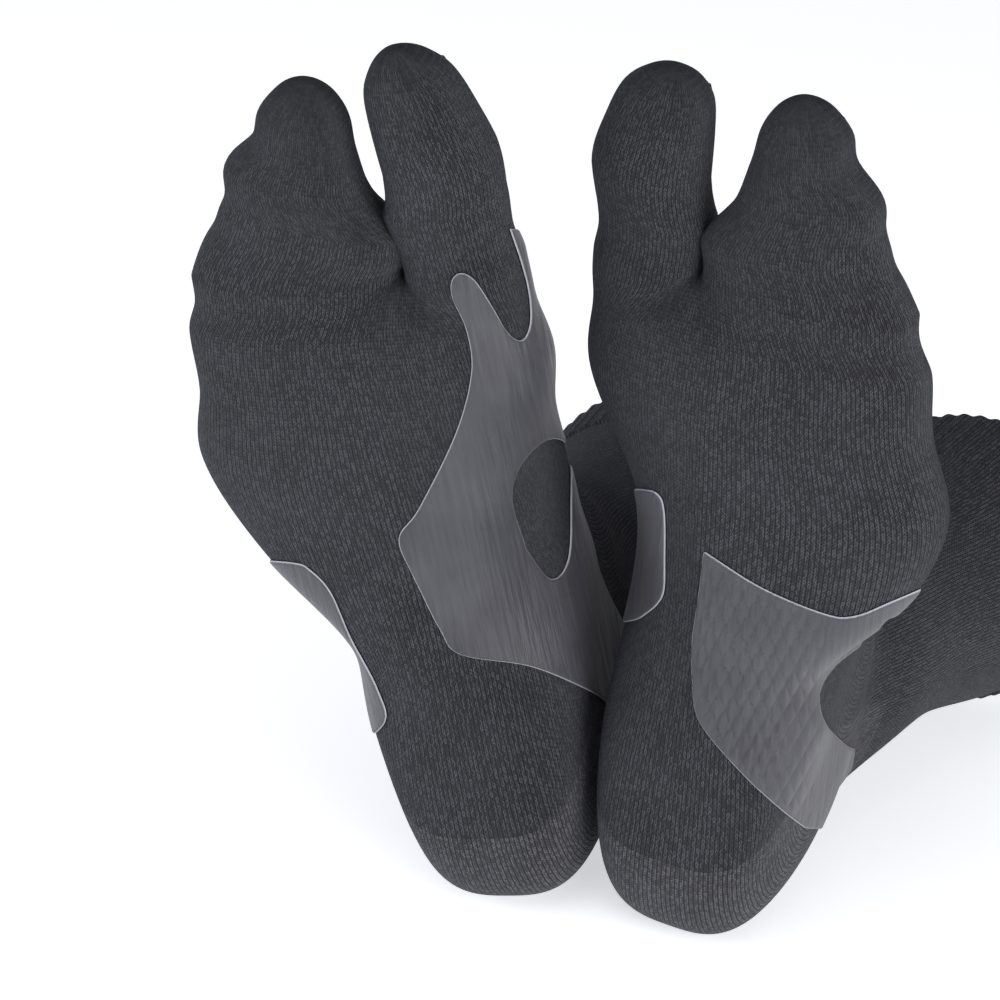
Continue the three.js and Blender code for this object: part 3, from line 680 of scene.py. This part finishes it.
def courses(points, leg_end, foot_start):
    """The stitch map's second number at each point of the tube: courses counted along the leg up
    from the heel, along the foot forward from it, and within the heel from whichever border is
    nearer, so that the courses of the heel pocket meet in a mitre on each side."""
    lengths = np.linalg.norm(np.diff(points, axis=0), axis=2)
    rings = np.concatenate([[0], np.cumsum(lengths.mean(axis=1))])
    own = np.concatenate([np.zeros((1, points.shape[1])), np.cumsum(lengths, axis=0)])
    down, up = own - own[leg_end], own[foot_start] - own
    row = np.arange(len(points))[:, None]
    leg, foot = (rings[leg_end] - rings)[:, None], (rings - rings[foot_start])[:, None]
    v = np.where(row < leg_end, leg, np.where(row > foot_start, foot, -np.minimum(down, up)))
    return np.broadcast_to(v, points.shape[:2]) / COURSE


def make_sock(name):
    """The tube's grid and the two pockets' grids, cut at the borders of the knitted zones."""
    sock = SOCKS[name]
    borders = {}
    places = []
    for zone, (low, high) in ZONES.items():
        if zone == "cuff":
            continue
        run = zone_places(sock, low, high)
        borders[zone] = (len(places), len(places) + len(run) - 1)
        places += list(run[:-1]) if zone != "divide" else list(run)
    places = np.array(places)
    column = np.arange(COLUMNS + 1)
    tube = tube_points(sock, places, column)
    v = courses(tube, borders["heel"][0], borders["heel"][1])
    u = np.broadcast_to(column * WALES / COLUMNS, v.shape)
    grids = [(tube, u, v)]
    toe_v = v[-1].mean()
    for lobe in ("big", "four"):
        full, end = LOBES[lobe]["rows"][-3][0], LOBES[lobe]["rows"][-1][0] + TIP
        closing = full + (end - full) * np.sin(np.linspace(0, np.pi / 2, 26))
        past = np.concatenate([np.arange(0, full - 0.3, ROW_STEP), closing])
        low, high = (TOP, BOTTOM) if lobe == "big" else (BOTTOM, COLUMNS + TOP)
        run = np.arange(low, high + 1)
        ring = np.stack(met_lobe(sock, lobe, past, (run - low) / (high - low)), axis=-1)
        ring[0] = tube[-1][run % COLUMNS]
        lu = np.broadcast_to(run * WALES / COLUMNS, ring.shape[:2])
        lv = np.broadcast_to((toe_v + past / COURSE)[:, None], ring.shape[:2])
        grids.append((ring, lu, lv))
    points, uv, triangles, ranges = [], [], [], []
    first = 0
    for grid, gu, gv in grids:
        rows, cols = grid.shape[:2]
        points.append(placed(sock, grid).reshape(-1, 3))
        uv.append(np.stack([gu, gv], -1).reshape(-1, 2))
        triangles.append(grid_triangles(rows, cols, first))
        ranges.append((rows, cols))
        first += rows * cols
    points, uv = np.concatenate(points), np.concatenate(uv)
    whole = np.concatenate(triangles)
    corner = points[whole]
    middle = points.mean(0)
    one, two, three = (corner[:, k] - middle for k in range(3))
    if (one * np.cross(two, three)).sum() < 0:
        triangles = [t[:, ::-1] for t in triangles]
        whole = whole[:, ::-1]
    normals = smooth_normals(points, whole)
    inner = points - normals * KNIT_WALL * MM
    rows, cols = ranges[0]
    flat = tube.reshape(-1, 3)
    cells = np.tile(np.repeat(np.arange(rows - 1), cols - 1), 2)
    tilt = np.radians(HEEL_LINE["slope"])
    beyond = np.zeros(len(points))
    ahead, above = flat[:, 1] - HEEL_LINE["a"], flat[:, 2] - HEEL_LINE["h"]
    beyond[: len(flat)] = ahead * np.cos(tilt) - above * np.sin(tilt)
    foot = f"{name}_foot"

    def piece(node, chosen, material, slot, sign=0):
        pts, inn, maps, nrm = points, inner, uv, normals
        if sign:
            pts, chosen, (inn, maps, nrm) = trim(points, beyond * sign, chosen, [inner, uv, normals])
        used, chosen = np.unique(chosen, return_inverse=True)
        chosen = chosen.reshape(-1, 3)
        made = plate(f"{name}_{node}_knit", pts[used], inn[used], chosen, maps[used], nrm[used],
                     material)
        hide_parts(f"{name}_{node}")
        return made

    def between(zone):
        low, high = borders[zone]
        return triangles[0][(cells >= low) & (cells < high)]

    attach(piece("leg", between("leg"), KNIT, "knit"), f"{name}_leg")
    ankle = piece("ankle", between("ankle"), KNIT, "knit")
    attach(piece("heel_pocket", between("heel"), HEEL_KNIT, "heel_knit", 1), foot)
    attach(piece("instep", between("heel"), KNIT, "knit", -1), foot)
    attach(piece("arch_band", between("arch"), KNIT, "knit"), foot)
    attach(piece("forefoot", between("ball"), KNIT, "knit"), foot)
    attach(piece("toe_divide", between("divide"), KNIT, "knit"), foot)
    big = piece("big_toe_pocket", triangles[1], KNIT, "knit")
    four = piece("toe_pocket", triangles[2], KNIT, "knit")

    def at(b, a, h):
        return tuple(placed(sock, np.array([b, a, h])))

    high_point = tube[borders["ankle"][0]].mean(0)
    low_point = tube[borders["heel"][0]].mean(0)
    at(*high_point)
    at(*low_point)
    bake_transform(ankle)
    for made, body in ((big, "big_toe"), (four, "toes")):
        start, end = TOE_BEND[body]
        at(*start)
        at(*end)
        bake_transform(made)
    return tube


def make_cuff(name):
    """The doubled welt: a rounded strip carried round the leg, with two-by-two ribs pressed into
    it: a cosine of four wales."""
    sock = SOCKS[name]
    column = np.arange(CUFF_COLUMNS + 1) * COLUMNS / CUFF_COLUMNS
    low, high = ZONES["cuff"]
    turn = np.linspace(0, np.pi, 9)
    run = [(high, CUFF_PROUD - 0.8), (high - 0.02, CUFF_PROUD)]
    run += [(high + (low - high) * s, CUFF_PROUD) for s in np.linspace(0.05, 0.97, 34)]
    lift = (CUFF_PROUD + KNIT_WALL) / 2
    run += [(low + 0.02 - 0.045 * np.sin(t), CUFF_PROUD - lift + lift * np.cos(t)) for t in turn]
    run += [(low + (high - low) * s, -KNIT_WALL) for s in np.linspace(0.06, 1, 14)]
    place, grow = np.array(run).T
    bare = tube_points(sock, place, column)
    across = np.gradient(bare, axis=1)
    down = np.gradient(tube_points(sock, np.linspace(high, low - 0.02, len(place)), column), axis=0)
    outward = np.cross(across, down)
    outward /= np.linalg.norm(outward, axis=2, keepdims=True)
    if (outward * (bare - bare.mean(axis=1, keepdims=True))).sum() < 0:
        outward = -outward
    depth = RIB_DEPTH * np.where(grow > 0, 1, 0.5)[:, None]
    ribs = depth * np.cos(column * WALES / COLUMNS * np.pi / 2)
    points = placed(sock, bare + outward * (grow[:, None] + ribs)[..., None])
    rows, cols = points.shape[:2]
    flat = points.reshape(-1, 3)
    triangles = grid_triangles(rows, cols)
    length = np.concatenate([[0], np.cumsum(np.linalg.norm(np.diff(points, axis=0), axis=2).mean(1))])
    counted = np.broadcast_arrays(column * WALES / COLUMNS, length[:, None] / MM / COURSE)
    uv = np.stack(counted, -1).reshape(-1, 2)
    normals = smooth_normals(flat, triangles)
    out = placed(sock, bare + outward).reshape(-1, 3) - placed(sock, bare).reshape(-1, 3)
    front = np.repeat(grow > 0, cols)
    if (normals * out)[front].sum() < 0:
        triangles, normals = triangles[:, ::-1], -normals
    cuff = build(f"{name}_cuff_welt", flat, triangles, uv, normals, RIB)
    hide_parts(f"{name}_cuff")
    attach(cuff, f"{name}_leg")


# ---- the films -------------------------------------------------------------------------------
def smooth_line(stretches):
    """A closed outline: a Catmull-Rom line through each stretch's points, with corners where the
    stretches meet."""
    line = []
    for stretch in stretches:
        p = np.array(stretch, float)
        q = np.vstack([2 * p[:1] - p[1:2], p, 2 * p[-1:] - p[-2:-1]])
        f = np.linspace(0, 1, 8, endpoint=False)[None, :, None]
        a, b, c, d = (q[k: k + len(p) - 1, None] for k in range(4))
        line.append((0.5 * (2 * b + (c - a) * f + (2 * a - 5 * b + 4 * c - d) * f**2
                            + (3 * b - a - 3 * c + d) * f**3)).reshape(-1, 2))
    return np.concatenate(line)


def outside(points, line):
    """Distance from each point to a closed line, negative inside it."""
    start, end = line, np.roll(line, -1, axis=0)
    along_line = end - start
    squared = np.maximum((along_line**2).sum(1), 1e-12)
    best = np.full(len(points), np.inf)
    crossings = np.zeros(len(points), int)
    for s, e, d, n in zip(start, end, along_line, squared):
        away = points - s
        t = np.clip(away @ d / n, 0, 1)
        best = np.minimum(best, ((away - t[:, None] * d) ** 2).sum(1))
        spans = (s[1] > points[:, 1]) != (e[1] > points[:, 1])
        if abs(d[1]) > 1e-12:
            crossings += spans & (points[:, 0] < s[0] + (points[:, 1] - s[1]) * d[0] / d[1])
    return np.sqrt(best) * np.where(crossings % 2 == 1, -1, 1)


def film_view(film_shape, side, local):
    """Points across and up as seen along the film's own direction."""
    around, above = np.radians(film_shape["around"]) * side, np.radians(film_shape["above"])
    towards = np.array([np.sin(around) * np.cos(above), -np.cos(around) * np.cos(above), np.sin(above)])
    across = np.cross([0, 0, 1], towards)
    across /= np.linalg.norm(across)
    up = np.cross(towards, across)
    xyz = np.stack([side * local[..., 0], local[..., 2], local[..., 1]], -1) - np.array(FOOT_MIDDLE)
    return np.stack([xyz @ across * side, xyz @ up], -1)


def make_film(node):
    """A film: the knit's own face moved out by the film's thickness and trimmed to the outline. Its
    thickness is a quarter circle of the distance from the edge, and a lattice adds a product of two
    slanting sines to it."""
    shape = FILMS[node]
    name = node.split("_")[0]
    sock = SOCKS[name]
    fine = np.linspace(*FILM_SPAN, 200)
    run = tube_points(sock, fine, np.array([COLUMNS / 2, COLUMNS / 4, COLUMNS * 0.75]))
    length = np.concatenate([[0], np.cumsum(np.linalg.norm(np.diff(run, axis=0), axis=2).max(1))])
    place = np.interp(np.arange(0, length[-1], FILM_STEP), length, fine)
    column = np.arange(0, COLUMNS + 0.01, COLUMNS / FILM_COLUMNS)
    past = np.arange(FILM_STEP, FILM_BEYOND, FILM_STEP)
    on_big, share = shares(column)
    toes = [np.stack(met_lobe(sock, lobe, past, share), axis=-1) for lobe in LOBES]
    local = np.concatenate([tube_points(sock, place, column), np.where(on_big[:, None], *toes)])
    seen = film_view(shape, sock["side"], local)
    line = smooth_line(shape["edge"])
    near = np.abs(seen[..., 0] - line[:, 0].mean()) < 90
    values = np.full(seen.shape[:2], 50.0)
    values[near] = outside(seen[near], line)
    if "window" in shape:
        hole = smooth_line(shape["window"])
        values = np.maximum(values, -outside(seen.reshape(-1, 2), hole).reshape(values.shape))
    tilt = np.radians(FILM_LIMIT["slope"])
    raised = (local[..., 2] - FILM_LIMIT["h"]) * np.cos(tilt)
    values = np.maximum(values, raised + (local[..., 1] - FILM_LIMIT["a"]) * np.sin(tilt))
    rows, cols = values.shape
    triangles = grid_triangles(rows, cols)
    world = placed(sock, local).reshape(-1, 3)
    flat_values = values.reshape(-1)
    maps = seen.reshape(-1, 2)
    close = (flat_values[triangles] < 3).any(1)
    triangles = triangles[close]
    used, triangles = np.unique(triangles, return_inverse=True)
    triangles = triangles.reshape(-1, 3)
    world, flat_values, maps = world[used], flat_values[used], maps[used]
    normals = smooth_normals(world, triangles)
    middle = placed(sock, np.array([0.0, 110.0, 35.0]))
    if (normals * (world - middle)).sum() < 0:
        triangles, normals = triangles[:, ::-1], -normals
    world, triangles, (maps, normals, depth_in) = trim(
        world, flat_values, triangles, [maps, normals, flat_values[:, None]]
    )
    used, triangles = np.unique(triangles, return_inverse=True)
    triangles = triangles.reshape(-1, 3)
    world, maps, normals, inset = world[used], maps[used], normals[used], -depth_in[used, 0]
    rounding = np.sqrt(1 - (1 - np.clip(inset / FILM_EDGE, 0, 1)) ** 2)
    thick = FILM_THICKNESS * (FILM_EDGE_SHARE + (1 - FILM_EDGE_SHARE) * rounding)
    if shape["lattice"]:
        x, y = (maps / LATTICE_CELL).T
        cells = np.abs(np.sin(np.pi * (x + y)) * np.sin(np.pi * (x - y))) ** 0.6
        fade = step(maps[:, 0], -36, -18) * step(inset, 0.3, 2.5)
        thick = thick + fade * LATTICE_DEPTH * (cells - 0.5)
    outer = world + normals * ((FILM_LIFT + thick) * MM)[:, None]
    inner = world + normals * FILM_LIFT * MM
    outer_normals = smooth_normals(outer, triangles)
    piece = plate(f"{node}_sheet", outer, inner, triangles, maps, outer_normals, FILM, inset)
    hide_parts(node)
    if shape["on_toe"]:
        start, end = (tuple(placed(sock, np.array(p, float))) for p in TOE_BEND["big_toe"])
        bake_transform(piece)
    else:
        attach(piece, f"{name}_foot")


# ---- the closing seams -----------------------------------------------------------------------
def make_seam(name, lobe, node, body):
    """The linked closing seam: a round cord carried over the pocket's tip from side to side, with
    a swelling at every linked stitch."""
    sock = SOCKS[name]
    end = LOBES[lobe]["rows"][-1][0] - SEAM_BACK
    share = np.linspace(0.13, 0.37, 120) if lobe == "big" else np.linspace(0.63, 0.87, 160)
    past = np.array([end, end + 0.3])
    ring = np.stack(met_lobe(sock, lobe, past, share), axis=-1)
    line = placed(sock, ring[0])
    ahead = placed(sock, ring[1]) - line
    ahead /= np.linalg.norm(ahead, axis=1, keepdims=True)
    tangent = np.gradient(line, axis=0)
    tangent /= np.linalg.norm(tangent, axis=1, keepdims=True)
    out = np.cross(tangent, ahead)
    out /= np.linalg.norm(out, axis=1, keepdims=True)
    if (out * (line - line.mean(0))).sum() < 0:
        out = -out
    turn = np.linspace(0, 2 * np.pi, 15)
    length = np.concatenate([[0], np.cumsum(np.linalg.norm(np.diff(line, axis=0), axis=1))])
    ends = np.sqrt(np.clip(np.minimum(length, length[-1] - length) / (1.2 * MM), 0, 1))
    swell = SEAM_SWELL * np.cos(2 * np.pi * length / (SEAM_STITCH * MM))
    radius = ((SEAM_RADIUS + swell) * MM * np.maximum(ends, 0.03))[:, None, None]
    points = (line[:, None] + out[:, None] * (np.sin(turn)[:, None] * radius + SEAM_RISE * MM)
              + ahead[:, None] * (np.cos(turn)[:, None] * 1.4 * radius))
    flat = points.reshape(-1, 3)
    triangles = grid_triangles(*points.shape[:2])
    normals = smooth_normals(flat, triangles)
    centre = np.repeat(line + out * SEAM_RISE * MM, len(turn), axis=0)
    if (normals * (flat - centre)).sum() < 0:
        triangles, normals = triangles[:, ::-1], -normals
    counted = np.broadcast_arrays(turn * 1.2, length[:, None] / MM / SEAM_STITCH)
    uv = np.stack(counted, -1).reshape(-1, 2)
    seam = build(f"{name}_{node}_stitching", flat, triangles, uv, normals, THREAD)
    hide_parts(f"{name}_{node}")
    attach(seam, body)


for sock_name in SOCKS:
    make_sock(sock_name)
    make_cuff(sock_name)
    make_seam(sock_name, "big", "big_toe_seam", f"{sock_name}_big_toe")
    make_seam(sock_name, "four", "toe_seam", f"{sock_name}_toes")
for film_node in FILMS:
    make_film(film_node)


# ---- floor, light and camera -----------------------------------------------------------------
def make_floor():
    """A plain white floor, with a little light of its own so that its shadows stay pale."""
    mesh = bpy.data.meshes.new("floor")
    reach = 6.0
    corners = [(-reach, -reach, 0), (reach, -reach, 0), (reach, reach, 0), (-reach, reach, 0)]
    mesh.from_pydata(corners, [], [(0, 1, 2, 3)])
    floor = bpy.data.objects.new("floor", mesh)
    bpy.context.scene.collection.objects.link(floor)
    material = bpy.data.materials.new("white_paper")
    material.use_nodes = True
    principled = material.node_tree.nodes["Principled BSDF"]
    principled.inputs["Base Color"].default_value = linear("f4f5f8")
    principled.inputs["Roughness"].default_value = 0.9
    principled.inputs["Emission Color"].default_value = linear("fbfcff")
    principled.inputs["Emission Strength"].default_value = 0.58
    mesh.materials.append(material)


def area_light(name, place, target, size, watts, colour):
    """A soft square light that faces a target."""
    data = bpy.data.lights.new(name, "AREA")
    data.size, data.energy, data.color = size, watts, linear(colour)[:3]
    light = bpy.data.objects.new(name, data)
    bpy.context.scene.collection.objects.link(light)
    light.location = place
    light.rotation_mode = "QUATERNION"
    light.rotation_quaternion = (Vector(target) - Vector(place)).to_track_quat("-Z", "Y")


make_floor()
TARGET = Vector((0.0076, -0.0596, 0.12))
area_light("right_softbox", (1.25, -0.8, 0.42), TARGET, 0.9, 19, "fffefb")
area_light("left_softbox", (-1.3, -0.7, 0.36), TARGET, 0.9, 15, "f8faff")
area_light("top_softbox", (0.1, -1.2, 1.7), TARGET, 1.0, 6, "ffffff")

world = bpy.data.worlds.new("studio")
world.use_nodes = True
world.node_tree.nodes["Background"].inputs["Color"].default_value = linear("f7f8ff")
world.node_tree.nodes["Background"].inputs["Strength"].default_value = 0.28
bpy.context.scene.world = world
bpy.context.scene.view_settings.view_transform = "Standard"

camera_data = bpy.data.cameras.new("camera")
camera_data.lens = 130.8
camera_data.sensor_width = 36.0
camera_data.shift_x = -0.112
camera_data.shift_y = 0.048
camera_data.clip_start, camera_data.clip_end = 0.05, 30.0
camera = bpy.data.objects.new("camera", camera_data)
bpy.context.scene.collection.objects.link(camera)
camera.location = (0.3455, -0.8441, 0.5403)
camera.rotation_mode = "QUATERNION"
camera.rotation_quaternion = (TARGET - camera.location).to_track_quat("-Z", "Y")
bpy.context.scene.camera = camera
